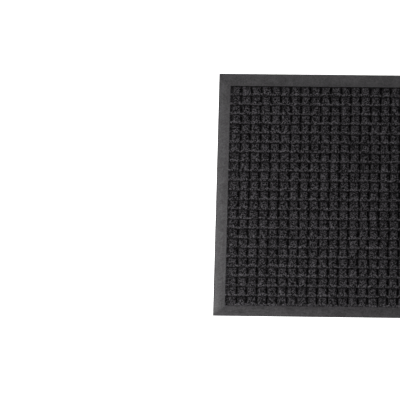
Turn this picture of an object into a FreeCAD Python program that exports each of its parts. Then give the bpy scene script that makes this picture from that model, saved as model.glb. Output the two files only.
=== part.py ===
import FreeCAD, Part
import os

# Entrance mat: a needle-punched waffle carpet on a moulded rubber backing with a bevelled
# rubber border. Millimetres, +Z up, long side along X, front edge towards -Y.
# The origin is the centre of the underside, on the floor.

# Outline of the whole mat
MAT_X = 685.8
MAT_Y = 457.2

# Rubber border. The carpet is laid in by hand, so the border is wider at the back.
BORDER_SIDE = 21.0
BORDER_FRONT = 18.0
BORDER_BACK = 25.2
LAP_SHARE = 0.37       # part of the border's width that covers the backing sheet's edge
LAND_SHARE = 0.03      # narrow flat strip beside the carpet
NOSE_SHARE = 0.06      # rounded outer edge
LIP_HEIGHT = 1.9       # where the bevel starts, above the floor
NOSE_HEIGHT = 1.3      # height of the rounded part of the lip
BEVEL_CROWN = 0.15     # how far the bevel bulges above a straight slope

# The field of raised squares
COLUMNS = 36
ROWS = 23
ROW_PITCH = 18.0
END_MARGIN = 1.8       # carpet beyond the field on the short sides
ROW_SHIFT = 1.3        # how far the field lies forward of the carpet's middle
COLUMN_SHIFT = 0.9     # and how far it lies to the right of it
CHANNEL = 3.0          # flat bottom of the channel between two squares
SQUARE_DRAFT = 2.1     # how far a square's wall leans in from its foot to its top

# Layers, from the floor up
CLEAT_HEIGHT = 1.2
BACKING_THICKNESS = 1.4
SCRIM_THICKNESS = 0.3
NUB_SHEET_THICKNESS = 0.7
FELT_THICKNESS = 1.9   # carpet at the bottom of a channel
MAT_HEIGHT = 9.5

# Reinforcing nubs, one under each square
NUB_FOOT = 9.6
NUB_DRAFT = 2.0
NUB_HEIGHT = 3.3

# Round cleats under the backing, under every second square
CLEAT_RADIUS = 3.0
CLEAT_DRAFT = 0.5

CARPET_X = MAT_X - 2 * BORDER_SIDE
CARPET_Y = MAT_Y - BORDER_FRONT - BORDER_BACK
CARPET_CENTRE_Y = (BORDER_FRONT - BORDER_BACK) / 2
COLUMN_PITCH = (CARPET_X - 2 * END_MARGIN) / COLUMNS
FIELD_CENTRE_Y = CARPET_CENTRE_Y - ROW_SHIFT

BACKING_BOTTOM = CLEAT_HEIGHT
BACKING_TOP = BACKING_BOTTOM + BACKING_THICKNESS
SCRIM_TOP = BACKING_TOP + SCRIM_THICKNESS
NUB_SHEET_TOP = SCRIM_TOP + NUB_SHEET_THICKNESS
CHANNEL_FLOOR = NUB_SHEET_TOP + FELT_THICKNESS


def cell_centres():
    """The centre of every square, with its column and row."""
    for column in range(COLUMNS):
        for row in range(ROWS):
            x = (column + 0.5 - COLUMNS / 2) * COLUMN_PITCH + COLUMN_SHIFT
            y = (row + 0.5 - ROWS / 2) * ROW_PITCH + FIELD_CENTRE_Y
            yield column, row, x, y


def rectangle(x, y, size_x, size_y, z):
    """The four corners of a flat rectangle centred on x, y."""
    half_x = size_x / 2
    half_y = size_y / 2
    signs = ((-1, -1), (1, -1), (1, 1), (-1, 1))
    return [FreeCAD.Vector(x + a * half_x, y + b * half_y, z) for a, b in signs]


def carpet_outline(z):
    return rectangle(0, CARPET_CENTRE_Y, CARPET_X, CARPET_Y, z)


def backing_outline(z):
    """The carpet's outline, grown under each border by that border's lap."""
    lap_front = BORDER_FRONT * LAP_SHARE
    lap_back = BORDER_BACK * LAP_SHARE
    size_x = CARPET_X + 2 * BORDER_SIDE * LAP_SHARE
    size_y = CARPET_Y + lap_front + lap_back
    return rectangle(0, CARPET_CENTRE_Y + (lap_back - lap_front) / 2, size_x, size_y, z)


def polygon(points):
    return Part.makePolygon(points + points[:1])


def solid_from(faces):
    """One closed solid from faces that meet edge to edge."""
    shell = Part.makeCompound(faces)
    shell.sewShape()
    if shell.ShapeType != "Shell" or not shell.isClosed():
        raise ValueError("the faces don't close")
    solid = Part.makeSolid(shell)
    if solid.Volume < 0:
        solid.reverse()
    return solid


def side_faces(low, high):
    """The four upright faces between a sheet's lower and upper outlines."""
    faces = []
    for i in range(4):
        j = (i + 1) % 4
        faces.append(Part.Face(polygon([low[i], low[j], high[j], high[i]])))
    return faces


def blocks_on_a_plane(z_plane, z_top, foot_x, foot_y, draft):
    """A flat field with a tapered block on each square's centre."""
    plane = [polygon(carpet_outline(z_plane))]
    faces = []
    for column, row, x, y in cell_centres():
        foot = rectangle(x, y, foot_x, foot_y, z_plane)
        top = rectangle(x, y, foot_x - 2 * draft, foot_y - 2 * draft, z_top)
        plane.append(polygon(foot[::-1]))
        faces.append(Part.Face(polygon(top)))
        for i in range(4):
            j = (i + 1) % 4
            faces.append(Part.Face(polygon([foot[i], foot[j], top[j], top[i]])))
    faces.append(Part.Face(plane))
    return faces


def nub_blocks():
    nub_top = NUB_SHEET_TOP + NUB_HEIGHT
    return blocks_on_a_plane(NUB_SHEET_TOP, nub_top, NUB_FOOT, NUB_FOOT, NUB_DRAFT)


def backing_sheet():
    """Rubber sheet with tapered round cleats that hold it just off the floor."""
    underside = [polygon(backing_outline(BACKING_BOTTOM))]
    faces = side_faces(backing_outline(BACKING_BOTTOM), backing_outline(BACKING_TOP))
    faces.append(Part.Face(polygon(backing_outline(BACKING_TOP))))
    for column, row, x, y in cell_centres():
        if (column + row) % 2:
            continue
        base = FreeCAD.Vector(x, y, 0)
        cleat = Part.makeCone(CLEAT_RADIUS - CLEAT_DRAFT, CLEAT_RADIUS, CLEAT_HEIGHT, base)
        for face in cleat.Faces:
            if face.BoundBox.ZMin < BACKING_BOTTOM / 2:
                faces.append(face)
            else:
                underside.append(face.OuterWire.reversed())
    faces.append(Part.Face(underside))
    return solid_from(faces)


def carrier_scrim():
    """Woven polyester carrier that keeps the rubber from stretching."""
    corner = carpet_outline(BACKING_TOP)[0]
    return Part.makeBox(CARPET_X, CARPET_Y, SCRIM_THICKNESS, corner)


def nub_sheet():
    """Upper rubber ply, with one stiffening block under each square."""
    faces = side_faces(carpet_outline(SCRIM_TOP), carpet_outline(NUB_SHEET_TOP))
    faces.append(Part.Face(polygon(carpet_outline(SCRIM_TOP))))
    return solid_from(faces + nub_blocks())


def waffle_carpet():
    """The face: one felt, pressed into squares over the nubs."""
    foot_x = COLUMN_PITCH - CHANNEL
    foot_y = ROW_PITCH - CHANNEL
    faces = side_faces(carpet_outline(NUB_SHEET_TOP), carpet_outline(CHANNEL_FLOOR))
    faces += blocks_on_a_plane(CHANNEL_FLOOR, MAT_HEIGHT, foot_x, foot_y, SQUARE_DRAFT)
    return solid_from(faces + nub_blocks())


def border_profile(width):
    """Section of a border in the YZ plane: Y is 0 at the outer edge, Z up."""
    rebate = width * (1 - LAP_SHARE)
    nose = width * NOSE_SHARE
    outer_foot = FreeCAD.Vector(0, 0, 0)
    rebate_foot = FreeCAD.Vector(0, rebate, 0)
    rebate_top = FreeCAD.Vector(0, rebate, BACKING_TOP)
    inner_foot = FreeCAD.Vector(0, width, BACKING_TOP)
    inner_top = FreeCAD.Vector(0, width, CHANNEL_FLOOR)
    land = FreeCAD.Vector(0, width * (1 - LAND_SHARE), CHANNEL_FLOOR)
    bevel_foot = FreeCAD.Vector(0, nose, LIP_HEIGHT)
    bevel_middle = (land + bevel_foot) * 0.5 + FreeCAD.Vector(0, 0, BEVEL_CROWN)
    nose_foot = FreeCAD.Vector(0, 0, LIP_HEIGHT - NOSE_HEIGHT)
    nose_middle = FreeCAD.Vector(0, nose * 0.3, LIP_HEIGHT - NOSE_HEIGHT * 0.3)
    edges = [
        Part.makeLine(outer_foot, rebate_foot),
        Part.makeLine(rebate_foot, rebate_top),
        Part.makeLine(rebate_top, inner_foot),
        Part.makeLine(inner_foot, inner_top),
        Part.makeLine(inner_top, land),
        Part.Arc(land, bevel_middle, bevel_foot).toShape(),
        Part.Arc(bevel_foot, nose_middle, nose_foot).toShape(),
        Part.makeLine(nose_foot, outer_foot),
    ]
    return Part.Face(Part.Wire(edges))


def border_strip(length, width, start_width, end_width, angle, distance):
    """One mitred strip, turned about Z, its outer edge at a given distance from the
    centre of the mat. Its neighbours' widths set the slant of its two mitres."""
    half = length / 2
    bar = border_profile(width).extrude(FreeCAD.Vector(length, 0, 0))
    bar.translate(FreeCAD.Vector(-half, 0, 0))
    past = 1.1    # the cutting outline runs past the strip's inner edge
    outline = [
        FreeCAD.Vector(-half, 0, -1),
        FreeCAD.Vector(half, 0, -1),
        FreeCAD.Vector(half - end_width * past, width * past, -1),
        FreeCAD.Vector(-half + start_width * past, width * past, -1),
    ]
    mitre = Part.Face(polygon(outline)).extrude(FreeCAD.Vector(0, 0, MAT_HEIGHT + 2))
    strip = bar.common(mitre)
    strip.translate(FreeCAD.Vector(0, -distance, 0))
    strip.rotate(FreeCAD.Vector(0, 0, 0), FreeCAD.Vector(0, 0, 1), angle)
    return strip


os.makedirs("parts", exist_ok=True)

nodes = {
    "backing_sheet": backing_sheet(),
    "carrier_scrim": carrier_scrim(),
    "nub_sheet": nub_sheet(),
    "waffle_carpet": waffle_carpet(),
    "border_front": border_strip(
        MAT_X, BORDER_FRONT, BORDER_SIDE, BORDER_SIDE, 0, MAT_Y / 2),
    "border_right": border_strip(
        MAT_Y, BORDER_SIDE, BORDER_FRONT, BORDER_BACK, 90, MAT_X / 2),
    "border_back": border_strip(
        MAT_X, BORDER_BACK, BORDER_SIDE, BORDER_SIDE, 180, MAT_Y / 2),
    "border_left": border_strip(
        MAT_Y, BORDER_SIDE, BORDER_BACK, BORDER_FRONT, 270, MAT_X / 2),
}

for name, shape in nodes.items():
    shape.exportStep("parts/" + name + ".step")
    print(name, len(shape.Solids), len(shape.Faces), round(shape.Volume / 1000, 2), "cm3")
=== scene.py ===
import math
import bpy
import numpy as np
from mathutils import Matrix, Vector


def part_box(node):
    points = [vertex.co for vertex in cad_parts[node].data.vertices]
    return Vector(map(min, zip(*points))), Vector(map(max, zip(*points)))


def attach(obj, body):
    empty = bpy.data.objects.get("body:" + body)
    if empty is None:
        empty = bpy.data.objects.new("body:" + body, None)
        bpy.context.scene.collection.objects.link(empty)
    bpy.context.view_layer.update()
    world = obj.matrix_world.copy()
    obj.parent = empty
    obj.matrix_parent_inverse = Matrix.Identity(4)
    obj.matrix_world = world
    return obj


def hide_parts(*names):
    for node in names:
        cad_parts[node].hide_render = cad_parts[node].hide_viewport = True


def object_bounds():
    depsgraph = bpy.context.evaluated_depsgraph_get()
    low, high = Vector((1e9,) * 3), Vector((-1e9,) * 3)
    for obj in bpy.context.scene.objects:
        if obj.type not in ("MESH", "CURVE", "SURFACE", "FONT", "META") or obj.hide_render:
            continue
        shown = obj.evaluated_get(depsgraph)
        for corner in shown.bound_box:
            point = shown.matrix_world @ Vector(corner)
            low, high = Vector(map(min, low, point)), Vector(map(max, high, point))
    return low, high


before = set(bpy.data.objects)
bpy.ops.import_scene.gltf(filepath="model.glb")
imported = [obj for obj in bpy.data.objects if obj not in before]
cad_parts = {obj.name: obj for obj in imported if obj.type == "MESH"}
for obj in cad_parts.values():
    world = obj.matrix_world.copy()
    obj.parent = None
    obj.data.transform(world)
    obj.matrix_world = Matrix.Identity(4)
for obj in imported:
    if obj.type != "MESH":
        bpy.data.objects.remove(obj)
cad_low, cad_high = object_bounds()

# --- Studio -----------------------------------------------------------------------------------
# A white light table, a large soft light in front on the left, a second one low on the left that
# gives the rubber its sheen, and a faint one behind. The room is white, and adds a little light to
# the shadows. The camera stands in front and well above, on a long lens.

FLOOR_SIDE = 400.0
CAMERA_LENS = 450.0
SENSOR_WIDTH = 36.0
CAMERA_AIM = Vector((-0.3712, -0.0120, 0.0))
CAMERA_DISTANCE = 8.89
CAMERA_AZIMUTH = 8.12
CAMERA_ELEVATION = 70.36
CAMERA_ROLL = -7.0
ROOM_LIGHT = 0.10            # what the room adds, next to the white that is seen


def linear(hex_colour):
    """The linear RGB of an sRGB hex colour such as "3a3b3c"."""
    parts = [int(hex_colour[i:i + 2], 16) / 255 for i in (0, 2, 4)]
    return tuple(c / 12.92 if c <= 0.04045 else ((c + 0.055) / 1.055) ** 2.4 for c in parts)


def add_node(tree, kind, settings=None, inputs=None, links=None):
    """Adds one shader node. settings are its own properties, inputs the values of its sockets,
    and links says which other node's output feeds which of its sockets."""
    node = tree.nodes.new(kind)
    for name, value in (settings or {}).items():
        setattr(node, name, value)
    for socket, value in (inputs or {}).items():
        node.inputs[socket].default_value = value
    for socket, (source, output) in (links or {}).items():
        tree.links.new(source.outputs[output], node.inputs[socket])
    return node


def new_material(name):
    """A named material with an empty node tree, and its output node."""
    material = bpy.data.materials.new(name)
    material.use_nodes = True
    material.node_tree.nodes.clear()
    return material, material.node_tree


def finish_material(tree, shader):
    add_node(tree, "ShaderNodeOutputMaterial", links={"Surface": (shader, 0)})


def mesh_object(name, points, faces, smooth=True):
    """A mesh object at the origin, linked to the scene."""
    mesh = bpy.data.meshes.new(name)
    mesh.from_pydata([tuple(p) for p in points], [], [tuple(f) for f in faces])
    mesh.validate()
    mesh.polygons.foreach_set("use_smooth", [smooth] * len(mesh.polygons))
    piece = bpy.data.objects.new(name, mesh)
    bpy.context.scene.collection.objects.link(piece)
    return piece


half_floor = FLOOR_SIDE / 2
floor = mesh_object(
    "studio_floor",
    [(-half_floor, -half_floor, 0), (half_floor, -half_floor, 0),
     (half_floor, half_floor, 0), (-half_floor, half_floor, 0)],
    [(0, 1, 2, 3)],
)
floor.location.z = -0.0002
# Opal acrylic, lit from below: an even white with no edge and hardly a shadow.
acrylic, tree = new_material("opal_acrylic_light_table")
shader = add_node(tree, "ShaderNodeBsdfPrincipled",
                  inputs={"Base Color": (*linear("f6f6f6"), 1), "Roughness": 0.9,
                          "Emission Color": (1, 1, 1, 1), "Emission Strength": 0.75})
finish_material(tree, shader)
floor.data.materials.append(acrylic)

world = bpy.data.worlds.new("white_room")
world.use_nodes = True
tree = world.node_tree
tree.nodes.clear()
ray = add_node(tree, "ShaderNodeLightPath")
brightness = add_node(tree, "ShaderNodeMapRange", inputs={"To Min": ROOM_LIGHT, "To Max": 1.0},
                      links={"Value": (ray, "Is Camera Ray")})
background = add_node(tree, "ShaderNodeBackground", inputs={"Color": (1, 1, 1, 1)},
                      links={"Strength": (brightness, "Result")})
add_node(tree, "ShaderNodeOutputWorld", links={"Surface": (background, 0)})
bpy.context.scene.world = world


def soft_light(name, place, aim, size, power):
    """A square softbox of a given size in metres, facing a point."""
    light = bpy.data.lights.new(name, "AREA")
    light.shape = "SQUARE"
    light.size = size
    light.energy = power
    lamp = bpy.data.objects.new(name, light)
    lamp.location = place
    lamp.rotation_euler = (Vector(aim) - Vector(place)).to_track_quat("-Z", "Y").to_euler()
    bpy.context.scene.collection.objects.link(lamp)
    return lamp


soft_light("front_left_softbox", (-0.95, -1.15, 1.05), (-0.3, 0.0, 0.0), 0.7, 37)
soft_light("left_softbox", (-1.5, 0.15, 1.05), (-0.35, 0.0, 0.0), 0.7, 23)
soft_light("back_softbox", (-0.35, 1.6, 0.95), (-0.3, 0.1, 0.0), 0.9, 5.5)

camera_data = bpy.data.cameras.new("product_camera")
camera_data.lens = CAMERA_LENS
camera_data.sensor_width = SENSOR_WIDTH
camera_data.clip_end = 1000
camera = bpy.data.objects.new("product_camera", camera_data)
azimuth = math.radians(CAMERA_AZIMUTH)
elevation = math.radians(CAMERA_ELEVATION)
backwards = Vector((math.sin(azimuth) * math.cos(elevation),
                    -math.cos(azimuth) * math.cos(elevation),
                    math.sin(elevation)))
facing = backwards.to_track_quat("Z", "Y").to_matrix().to_4x4()
facing = facing @ Matrix.Rotation(math.radians(CAMERA_ROLL), 4, "Z")
camera.matrix_world = Matrix.Translation(CAMERA_AIM + backwards * CAMERA_DISTANCE) @ facing
bpy.context.scene.collection.objects.link(camera)
bpy.context.scene.camera = camera
bpy.context.scene.view_settings.view_transform = "Standard"

# --- Waffle carpet ----------------------------------------------------------------------------
# One felt of coarse needle-punched polypropylene fibre, pressed hot over the rubber nubs into rows
# of raised squares. Each square slopes at its front into a sharp crease; deep slots part it from
# its neighbours, and stop at a low rib that joins the squares of a row along their fronts.

MM = 0.001
COLUMNS = 36
ROWS = 23
ROW_PITCH = 18.0 * MM
END_MARGIN = 1.8 * MM      # carpet beyond the outer columns
ROW_SHIFT = 1.3 * MM       # how far the rows lie forward of the carpet's middle
COLUMN_SHIFT = 0.9 * MM    # and how far the columns lie to the right of it
FRONT_SLOPE = 5.4 * MM     # from the crease back to the flat top of a square
CREASE_DEPTH = 2.5 * MM
SLOT_DEPTH = 3.4 * MM
SLOT_OFFSET = 0.5 * MM     # how far a slot lies right of the middle between two nubs
SLOT_BOTTOM = 1.8 * MM     # width of a slot at its bottom
SLOT_SIDE = 1.8 * MM       # how far each side of a slot leans out
SLOT_CURVE = 0.4           # how far its sides are curved rather than straight
SLOT_STRAY = 0.7 * MM      # how far a single slot strays sideways
RIB_BACK = 4.4 * MM        # from the crease to where the rib falls away into the slot
RIB_FALL = 2.0 * MM        # over which it does
RIB_DIP = 0.5 * MM         # how far the rib lies below the squares
FLAT_BACK = 14.6 * MM      # from the crease to the back of the flat top of a square
DOME = 0.45 * MM           # how far a square's middle stands above its edges
DOME_FRONT = 3 * MM        # where the dome starts and ends, back from the crease
DOME_BACK = 16 * MM
DOME_RISE_X = 4 * MM       # over which it rises, across a row and along the square
DOME_RISE_Y = 5 * MM
TUFT_HEIGHT = 0.36 * MM    # how far a single tuft stands above or below the rest
NUB_FOOT = 9.6 * MM
NUB_TOP = 5.6 * MM
NUB_HEIGHT = 3.3 * MM
EDGE_GAP = 0.4 * MM        # closest that a mesh line comes to the carpet's edge

carpet_low, carpet_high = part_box("waffle_carpet")
column_pitch = (carpet_high.x - carpet_low.x - 2 * END_MARGIN) / COLUMNS
first_column = carpet_low.x + END_MARGIN + COLUMN_SHIFT
first_row = (carpet_low.y + carpet_high.y) / 2 - ROW_SHIFT - ROWS * ROW_PITCH / 2
square_top = carpet_high.z - DOME


def wander(x, y, size, seed):
    """Smooth random hills between -1 and 1, one about every size metres."""
    grid = np.random.default_rng(seed).uniform(-1, 1, (256, 256))
    u = x / size + 1000.0
    v = y / size + 1000.0
    i = np.floor(u).astype(int)
    j = np.floor(v).astype(int)
    a = u - i
    b = v - j
    a = a * a * (3 - 2 * a)
    b = b * b * (3 - 2 * b)
    low = grid[i % 256, j % 256] * (1 - a) + grid[(i + 1) % 256, j % 256] * a
    high = grid[i % 256, (j + 1) % 256] * (1 - a) + grid[(i + 1) % 256, (j + 1) % 256] * a
    return low * (1 - b) + high * b


def ease(t):
    """Turns a straight rise from 0 to 1 into one that starts and ends gently."""
    t = np.clip(t, 0, 1)
    return t * t * (3 - 2 * t)


# The section of a row from its front crease to the next one, as (distance back, depth).
ROW_SECTION = [(0, CREASE_DEPTH), (0.3 * MM, CREASE_DEPTH), (0.8 * MM, 2.0 * MM),
               (2.4 * MM, 1.3 * MM), (4.0 * MM, 0.4 * MM), (FRONT_SLOPE, 0), (FLAT_BACK, 0),
               (16.0 * MM, 0.15 * MM), (16.8 * MM, 0.9 * MM), (17.7 * MM, CREASE_DEPTH),
               (ROW_PITCH, CREASE_DEPTH)]
BACK_CHANNEL = 1.0 * MM    # the last row stops this much short of its crease

# The painted light and shade along that section, as a factor on the felt's colour: 1 is the flat
# top, the rib is painted lighter as a painted highlight, and the creases darker as painted shade.
PAINTED_TONE_ALONG_ROW = [(0, 0.3), (0.8 * MM, 0.5), (1.6 * MM, 1.1), (3 * MM, 1.25), (5 * MM, 1.1),
               (7 * MM, 0.97), (15 * MM, 0.95), (16.8 * MM, 0.65), (17.7 * MM, 0.25),
               (ROW_PITCH, 0.3)]
SLOT_PAINTED_SHADE = 0.25             # and the painted shade left at the bottom of a slot
SLOT_SHADE_RISE = 2.2         # how steeply it gets there from the top of the slot's side


def carpet_point(x, y):
    """Where a point of the felt's top surface lies, with the unevenness of the pile, and the
    painted light and shade that scales its colour there."""
    u = (x - first_column) / column_pitch
    v = (y - first_row) / ROW_PITCH
    slot, row = np.round(u).astype(int), np.floor(v).astype(int)
    strays = np.random.default_rng(9).uniform(-1, 1, (COLUMNS + 3, ROWS + 2)) * SLOT_STRAY
    from_slot = np.abs((u - slot) * column_pitch - SLOT_OFFSET - strays[slot, row])
    from_slot = np.where((u < 0) | (u > COLUMNS), 0, from_slot)
    back = (v - np.floor(v)) * ROW_PITCH
    row_depth = np.interp(back, *zip(*ROW_SECTION))
    down_side = np.clip((SLOT_BOTTOM / 2 + SLOT_SIDE - from_slot) / SLOT_SIDE, 0, 1)
    open_side = ease(down_side) * SLOT_CURVE + down_side * (1 - SLOT_CURVE)
    open_end = np.clip((back - RIB_BACK) / RIB_FALL, 0, 1)
    slot_depth = open_side * SLOT_DEPTH * open_end
    rib_depth = row_depth + RIB_DIP * open_side * (1 - open_end)
    depth = np.maximum(rib_depth, slot_depth)
    depth = np.where(v > ROWS - BACK_CHANNEL / ROW_PITCH, SLOT_DEPTH, depth)
    across = np.clip((from_slot - SLOT_BOTTOM / 2 - SLOT_SIDE) / DOME_RISE_X, 0, 1)
    along = np.clip(np.minimum(back - DOME_FRONT, DOME_BACK - back) / DOME_RISE_Y, 0, 1)
    domed = DOME * ease(across) * ease(along)
    raised = 1 - depth / SLOT_DEPTH
    clumps = wander(x, y, 3.3 * MM, 5) * 0.10 * MM + wander(x, y, 2.1 * MM, 6) * 0.20 * MM
    uneven = wander(x, y, 14 * MM, 7) * 0.12 * MM
    tufts = np.random.default_rng(8).uniform(-1, 1, len(x)) * TUFT_HEIGHT
    height = square_top - depth + domed + (clumps + uneven + tufts) * (0.4 + 0.6 * raised)
    # Painted shade: the colour is darkened down the sides and bottoms of the slots, in the creases
    # and in the back channel, with a random scatter; the rib gets a painted highlight.
    slot_shade_scatter = np.random.default_rng(10).uniform(-0.25, 0.35, len(x))
    painted_tone = 1 - np.clip(SLOT_SHADE_RISE * open_side * open_end, 0, 1 - SLOT_PAINTED_SHADE - slot_shade_scatter)
    painted_tone *= np.interp(back, *zip(*PAINTED_TONE_ALONG_ROW))
    painted_tone = np.where(v > ROWS - BACK_CHANNEL / ROW_PITCH, SLOT_PAINTED_SHADE, painted_tone)
    inner = (x > carpet_low.x) & (x < carpet_high.x) & (y > carpet_low.y) & (y < carpet_high.y)
    x_moved = x + (wander(x, y, 8 * MM, 1) * 0.5 + wander(x, y, 3.3 * MM, 2) * 0.7) * MM * inner
    y_moved = y + (wander(x, y, 8 * MM, 3) * 0.4 + wander(x, y, 3.3 * MM, 4) * 0.4) * MM * inner
    return np.stack([np.clip(x_moved, carpet_low.x, carpet_high.x),
                     np.clip(y_moved, carpet_low.y, carpet_high.y), height], 1), painted_tone


def nub_top(x, y):
    """Height of the rubber nubs that the felt is pressed over."""
    u = (x - first_column) / column_pitch
    v = (y - first_row) / ROW_PITCH
    off_x = np.abs(u - np.floor(u) - 0.5) * column_pitch
    off_y = np.abs(v - np.floor(v) - 0.5) * ROW_PITCH
    outside = (u < 0) | (u > COLUMNS) | (v < 0) | (v > ROWS)
    off = np.where(outside, NUB_FOOT, np.maximum(off_x, off_y))
    lean = (NUB_FOOT - NUB_TOP) / 2
    return carpet_low.z + NUB_HEIGHT * np.clip((NUB_FOOT / 2 - off) / lean, 0, 1)


def grid_lines(low, high, first, pitch, count, places):
    """Mesh lines across the carpet: its two edges, and the same places in every square."""
    lines = [first + (k + place) * pitch for k in range(count) for place in places]
    inside = [a for a in lines if low + EDGE_GAP < a < high - EDGE_GAP]
    return np.array([low] + inside + [high])


def grid_faces(count_x, count_y, start, upward):
    """Square faces over a grid of points that are numbered row by row along X."""
    i, j = np.meshgrid(np.arange(count_x - 1), np.arange(count_y - 1))
    a = (start + j * count_x + i).ravel()
    corners = [a, a + 1, a + 1 + count_x, a + count_x]
    return np.stack(corners if upward else corners[::-1], 1).tolist()


def wall_between(outer, inner, points):
    """Triangles that close the strip between two lines of points that run side by side."""
    start = points[outer[0]]

    def length(k):
        return np.hypot(points[k][0] - start[0], points[k][1] - start[1])

    faces = []
    i = j = 0
    while i < len(outer) - 1 or j < len(inner) - 1:
        ahead_outer = length(outer[i + 1]) if i < len(outer) - 1 else math.inf
        ahead_inner = length(inner[j + 1]) if j < len(inner) - 1 else math.inf
        if ahead_outer <= ahead_inner:
            faces.append((outer[i], outer[i + 1], inner[j]))
            i += 1
        else:
            faces.append((outer[i], inner[j + 1], inner[j]))
            j += 1
    return faces


def rim(count_x, count_y, start):
    """The four edges of a grid, each as a list of point numbers, counter-clockwise."""
    grid = start + np.arange(count_x * count_y).reshape(count_y, count_x)
    return [grid[0].tolist(), grid[:, -1].tolist(), grid[-1, ::-1].tolist(), grid[::-1, 0].tolist()]


nub_edges = [0.5 + side * size / 2 / ROW_PITCH for side, size in
             ((-1, NUB_FOOT), (-1, NUB_TOP), (1, NUB_TOP), (1, NUB_FOOT))]
slot_edges = [0, SLOT_BOTTOM / 2, (SLOT_BOTTOM + SLOT_SIDE) / 2, SLOT_BOTTOM / 2 + SLOT_SIDE]
top_width = column_pitch - 2 * slot_edges[-1]
across = slot_edges + [slot_edges[-1] + top_width * k / 6 for k in range(1, 6)]
across += [column_pitch - edge for edge in slot_edges[:0:-1]]
flat = FLAT_BACK - FRONT_SLOPE
back = [a for a, _ in ROW_SECTION[:-1]] + [FRONT_SLOPE + flat * k / 5 for k in range(1, 5)]
top_x = grid_lines(carpet_low.x, carpet_high.x, first_column + SLOT_OFFSET, column_pitch, COLUMNS,
                   [a / column_pitch for a in across])
top_y = grid_lines(carpet_low.y, carpet_high.y, first_row, ROW_PITCH, ROWS,
                   [a / ROW_PITCH for a in sorted(back)])
under_x = grid_lines(carpet_low.x, carpet_high.x, first_column, column_pitch, COLUMNS, nub_edges)
under_y = grid_lines(carpet_low.y, carpet_high.y, first_row, ROW_PITCH, ROWS, nub_edges)
x, y = (a.ravel() for a in np.meshgrid(top_x, top_y))
top_points, painted_tones = carpet_point(x, y)
x, y = (a.ravel() for a in np.meshgrid(under_x, under_y))
under_points = np.stack([x, y, nub_top(x, y)], 1)
points = np.concatenate([top_points, under_points])
faces = grid_faces(len(top_x), len(top_y), 0, True)
faces += grid_faces(len(under_x), len(under_y), len(top_points), False)
for upper, lower in zip(rim(len(top_x), len(top_y), 0),
                        rim(len(under_x), len(under_y), len(top_points))):
    faces += wall_between(lower, upper, points)
carpet = mesh_object("waffle_carpet_pile", points, faces)
# The painted light and shade is kept on the mesh as an attribute that the felt's material reads.
painted_light_and_shade = carpet.data.attributes.new("painted_light_and_shade", "FLOAT", "POINT")
painted_tones = np.concatenate([painted_tones, np.ones(len(under_points))])
painted_light_and_shade.data.foreach_set("value", painted_tones.astype(np.float32))

# Coarse spun fibre, dyed black right through and tangled by the needles: matt grey strands that
# cross each other, with black gaps between. The colour is scaled by painted light and shade:
# painted shade in the slots and creases, which stands for the deep shade that a surface without
# single hairs can't cast, and a painted highlight on the ribs.
# A strand is under 0.2 mm thick, too fine to show, so bunches of them are drawn much coarser.
STRAND = 1.0 * MM
STRAND_LENGTH = 4.0 * MM
TUFT = 1.3 * MM
felt, tree = new_material("needle_punched_polypropylene")
place = add_node(tree, "ShaderNodeTexCoord")
tangle = None
for turn in (12, 74, 133):
    laid = add_node(tree, "ShaderNodeMapping", {"vector_type": "TEXTURE"},
                    {"Rotation": (0, 0, math.radians(turn)),
                     "Scale": (STRAND_LENGTH, STRAND, STRAND), "Location": (turn * MM, 0, 0)},
                    {"Vector": (place, "Object")})
    strands = add_node(tree, "ShaderNodeTexNoise",
                       inputs={"Scale": 1.0, "Detail": 1.0, "Roughness": 0.5, "Distortion": 0.6},
                       links={"Vector": (laid, "Vector")})
    if tangle is None:
        tangle = strands
    else:
        tangle = add_node(tree, "ShaderNodeMath", {"operation": "MAXIMUM"},
                          links={0: (tangle, 0), 1: (strands, "Fac")})
tuft = add_node(tree, "ShaderNodeTexVoronoi", {"feature": "F1"},
                {"Scale": 1 / TUFT, "Randomness": 1.0}, {"Vector": (place, "Object")})
tuft_tone = add_node(tree, "ShaderNodeSeparateColor", links={"Color": (tuft, "Color")})
mixed = add_node(tree, "ShaderNodeMix", {"data_type": "FLOAT"}, {"Factor": 0.68},
                 {"A": (tangle, 0), "B": (tuft_tone, "Red")})
painted_tone = add_node(tree, "ShaderNodeAttribute", {"attribute_name": "painted_light_and_shade"})
colour = add_node(tree, "ShaderNodeValToRGB", links={"Fac": (mixed, "Result")})
colour.color_ramp.elements[0].position = 0.43
colour.color_ramp.elements[0].color = (*linear("010101"), 1)
colour.color_ramp.elements[1].position = 0.84
colour.color_ramp.elements[1].color = (*linear("484649"), 1)
# The felt's colour scaled by the painted light and shade: painted shade in slots and creases, a
# painted highlight on the ribs.
shaded = add_node(tree, "ShaderNodeVectorMath", {"operation": "SCALE"},
                  links={0: (colour, "Color"), "Scale": (painted_tone, "Fac")})
bump = add_node(tree, "ShaderNodeBump", inputs={"Strength": 0.9, "Distance": 0.0008},
                links={"Height": (mixed, "Result")})
shader = add_node(tree, "ShaderNodeBsdfPrincipled",
                  inputs={"Roughness": 0.85, "IOR": 1.49, "Specular IOR Level": 0.08},
                  links={"Base Color": (shaded, "Vector"), "Normal": (bump, "Normal")})
finish_material(tree, shader)
carpet.data.materials.append(felt)
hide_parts("waffle_carpet")
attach(carpet, "root")

# --- Rubber border ----------------------------------------------------------------------------
# Four bevelled strips of black nitrile rubber, moulded round the carpet and cured onto the
# backing. They slope from the carpet to a thin rounded lip and are mitred at the corners.

LIP_HEIGHT = 1.9 * MM
NOSE_HEIGHT = 1.3 * MM
NOSE_SHARE = 0.06
LAND_SHARE = 0.03
LAP_SHARE = 0.37
BEVEL_CROWN = 0.15 * MM
BEVEL_STEPS = 10
NOSE_STEPS = 5
STRIP_STEP = 3 * MM
MITRE_ROUNDING = 1.2 * MM  # difference in height over which two strips run into each other

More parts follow.
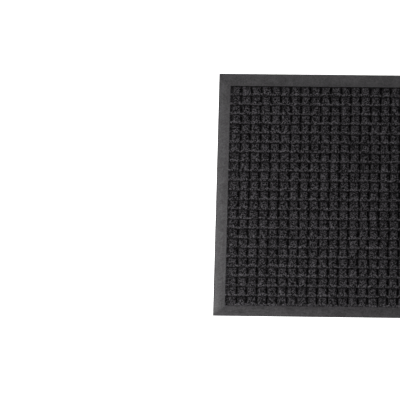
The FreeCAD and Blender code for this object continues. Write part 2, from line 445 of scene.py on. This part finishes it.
mat_low, mat_high = cad_low, cad_high
border_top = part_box("border_front")[1].z
backing_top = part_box("backing_sheet")[1].z
widths = {
    "left": carpet_low.x - mat_low.x,
    "right": mat_high.x - carpet_high.x,
    "front": carpet_low.y - mat_low.y,
    "back": mat_high.y - carpet_high.y,
}


def bevel_height(share):
    """Height of the bevel at a share of the border's width from its outer edge."""
    t = np.clip((share - NOSE_SHARE) / (1 - LAND_SHARE - NOSE_SHARE), 0, 1)
    return LIP_HEIGHT + (border_top - LIP_HEIGHT) * t + BEVEL_CROWN * 4 * t * (1 - t)


def border_section():
    """Points (share of the width from the outer edge, height) round a border's section."""
    section = [(1 - LAP_SHARE, 0.0), (0.02, 0.0)]
    for k in range(NOSE_STEPS + 1):
        turn = math.pi / 2 * k / NOSE_STEPS
        section.append((NOSE_SHARE * (1 - math.cos(turn)),
                        LIP_HEIGHT - NOSE_HEIGHT + NOSE_HEIGHT * math.sin(turn)))
    for k in range(1, BEVEL_STEPS + 1):
        share = NOSE_SHARE + (1 - LAND_SHARE - NOSE_SHARE) * k / BEVEL_STEPS
        section.append((share, bevel_height(share)))
    section += [(1.0, border_top), (1.0, backing_top), (1 - LAP_SHARE, backing_top)]
    return section


def border_strip(name, outer_start, outer_end, inner_start, inner_end):
    """One strip between the outer and inner corners of its two mitres."""
    outer_start, outer_end, inner_start, inner_end = (
        np.array(p) for p in (outer_start, outer_end, inner_start, inner_end))
    section = border_section()
    count = max(2, int(np.linalg.norm(outer_end - outer_start) / STRIP_STEP))
    points = []
    for k in range(count + 1):
        t = k / count
        outer = outer_start + (outer_end - outer_start) * t
        inner = inner_start + (inner_end - inner_start) * t
        for share, height in section:
            place = outer + (inner - outer) * share
            points.append((place[0], place[1], height))
    points = np.array(points)
    on_top = points[:, 2] > LIP_HEIGHT * 0.6
    inside = points[:, 2] < border_top - 0.2 * MM
    soft = wander(points[:, 0], points[:, 1], 30 * MM, 11) * 0.12 * MM
    shares = [(points[:, 0] - mat_low.x) / widths["left"],
              (mat_high.x - points[:, 0]) / widths["right"],
              (points[:, 1] - mat_low.y) / widths["front"],
              (mat_high.y - points[:, 1]) / widths["back"]]
    heights = np.sort([bevel_height(share) for share in shares], axis=0)
    near_mitre = np.clip(1 - (heights[1] - heights[0]) / MITRE_ROUNDING, 0, 1)
    soft -= near_mitre ** 2 * MITRE_ROUNDING / 4
    points[:, 2] += np.where(on_top & inside, soft, 0)
    size = len(section)
    faces = []
    for k in range(count):
        for m in range(size):
            n = (m + 1) % size
            faces.append((k * size + m, k * size + n, (k + 1) * size + n, (k + 1) * size + m))
    faces.append(tuple(range(size))[::-1])
    faces.append(tuple(count * size + m for m in range(size)))
    strip = mesh_object(name, points, faces)
    strip.data.set_sharp_from_angle(angle=math.radians(40))
    return strip


# Black nitrile rubber, cured against a finely sandblasted mould: a dark grey, mottled by the
# grain and by handling, with a soft broad sheen where light comes in low.
rubber, tree = new_material("moulded_nitrile_rubber")
place = add_node(tree, "ShaderNodeTexCoord")
grain = add_node(tree, "ShaderNodeTexNoise", inputs={"Scale": 380, "Detail": 2, "Roughness": 0.7},
                 links={"Vector": (place, "Object")})
smudges = add_node(tree, "ShaderNodeTexNoise",
                   inputs={"Scale": 60, "Detail": 4, "Roughness": 0.7, "Distortion": 1.2},
                   links={"Vector": (place, "Object")})
handled = add_node(tree, "ShaderNodeMix", {"data_type": "FLOAT"}, {"Factor": 0.4},
                   {"A": (grain, "Fac"), "B": (smudges, "Fac")})
colour = add_node(tree, "ShaderNodeValToRGB", links={"Fac": (handled, "Result")})
colour.color_ramp.elements[0].position = 0.36
colour.color_ramp.elements[0].color = (*linear("030203"), 1)
colour.color_ramp.elements[1].position = 0.64
colour.color_ramp.elements[1].color = (*linear("363436"), 1)
bump = add_node(tree, "ShaderNodeBump", inputs={"Strength": 0.8, "Distance": 0.0006},
                links={"Height": (grain, "Fac")})
shader = add_node(tree, "ShaderNodeBsdfPrincipled", inputs={"Roughness": 0.4, "IOR": 1.52},
                  links={"Base Color": (colour, "Color"), "Normal": (bump, "Normal")})
finish_material(tree, shader)

outer = [(mat_low.x, mat_low.y), (mat_high.x, mat_low.y),
         (mat_high.x, mat_high.y), (mat_low.x, mat_high.y)]
inner = [(carpet_low.x, carpet_low.y), (carpet_high.x, carpet_low.y),
         (carpet_high.x, carpet_high.y), (carpet_low.x, carpet_high.y)]
for k, side in enumerate(("front", "right", "back", "left")):
    n = (k + 1) % 4
    strip = border_strip("rubber_border_" + side, outer[k], outer[n], inner[k], inner[n])
    strip.data.materials.append(rubber)
    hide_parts("border_" + side)
    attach(strip, "root")

# --- Rubber plies and carrier -------------------------------------------------------------------
# Under the carpet: the nub sheet, a woven polyester carrier and the cleated backing sheet, all
# cured into one. They keep their CAD shapes: only the backing's underside, with its low round
# cleats, can be seen, and then only when the mat is lifted.

PLAIN_WEAVE = 1.6 * MM     # from one yarn of the carrier to the next


def ply_rubber(name, dark, light, grain_size, roughness):
    """Sheet rubber: nearly even in colour, with a slight grain of a given size."""
    material, tree = new_material(name)
    place = add_node(tree, "ShaderNodeTexCoord")
    grain = add_node(tree, "ShaderNodeTexNoise",
                     inputs={"Scale": 1 / grain_size, "Detail": 3, "Roughness": 0.5},
                     links={"Vector": (place, "Object")})
    colour = add_node(tree, "ShaderNodeValToRGB", links={"Fac": (grain, "Fac")})
    colour.color_ramp.elements[0].position = 0.3
    colour.color_ramp.elements[0].color = (*linear(dark), 1)
    colour.color_ramp.elements[1].position = 0.7
    colour.color_ramp.elements[1].color = (*linear(light), 1)
    bump = add_node(tree, "ShaderNodeBump", inputs={"Strength": 0.5, "Distance": 0.0003},
                    links={"Height": (grain, "Fac")})
    shader = add_node(tree, "ShaderNodeBsdfPrincipled",
                      inputs={"Roughness": roughness, "IOR": 1.52},
                      links={"Base Color": (colour, "Color"), "Normal": (bump, "Normal")})
    finish_material(tree, shader)
    return material


# The backing is cured flat against a release cloth, which leaves it duller than the border.
backing_rubber = ply_rubber("cloth_cured_nitrile_rubber", "151415", "232223", 1.2 * MM, 0.55)
# The nub sheet is pressed under the felt, whose fibres roughen it to a dead matt black.
nub_rubber = ply_rubber("felt_pressed_nitrile_rubber", "0d0c0d", "1b1a1b", 2.5 * MM, 0.8)

# Undyed polyester yarn in an open plain weave: off-white ribs that run both ways, grey between.
scrim, tree = new_material("woven_polyester_carrier")
place = add_node(tree, "ShaderNodeTexCoord")
weave = None
for direction in ("X", "Y"):
    yarns = add_node(tree, "ShaderNodeTexWave",
                     {"wave_type": "BANDS", "bands_direction": direction},
                     {"Scale": math.tau / 20 / PLAIN_WEAVE, "Distortion": 0.3},
                     {"Vector": (place, "Object")})
    if weave is None:
        weave = yarns
    else:
        weave = add_node(tree, "ShaderNodeMath", {"operation": "MAXIMUM"},
                         links={0: (weave, "Fac"), 1: (yarns, "Fac")})
colour = add_node(tree, "ShaderNodeValToRGB", links={"Fac": (weave, 0)})
colour.color_ramp.elements[0].color = (*linear("6b6a66"), 1)
colour.color_ramp.elements[1].color = (*linear("d8d6cf"), 1)
bump = add_node(tree, "ShaderNodeBump", inputs={"Strength": 0.6, "Distance": 0.0002},
                links={"Height": (weave, 0)})
shader = add_node(tree, "ShaderNodeBsdfPrincipled", inputs={"Roughness": 0.7, "IOR": 1.57},
                  links={"Base Color": (colour, "Color"), "Normal": (bump, "Normal")})
finish_material(tree, shader)

for name, material in (("backing_sheet", backing_rubber), ("nub_sheet", nub_rubber),
                       ("carrier_scrim", scrim)):
    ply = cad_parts[name]
    ply.data.materials.clear()
    ply.data.materials.append(material)
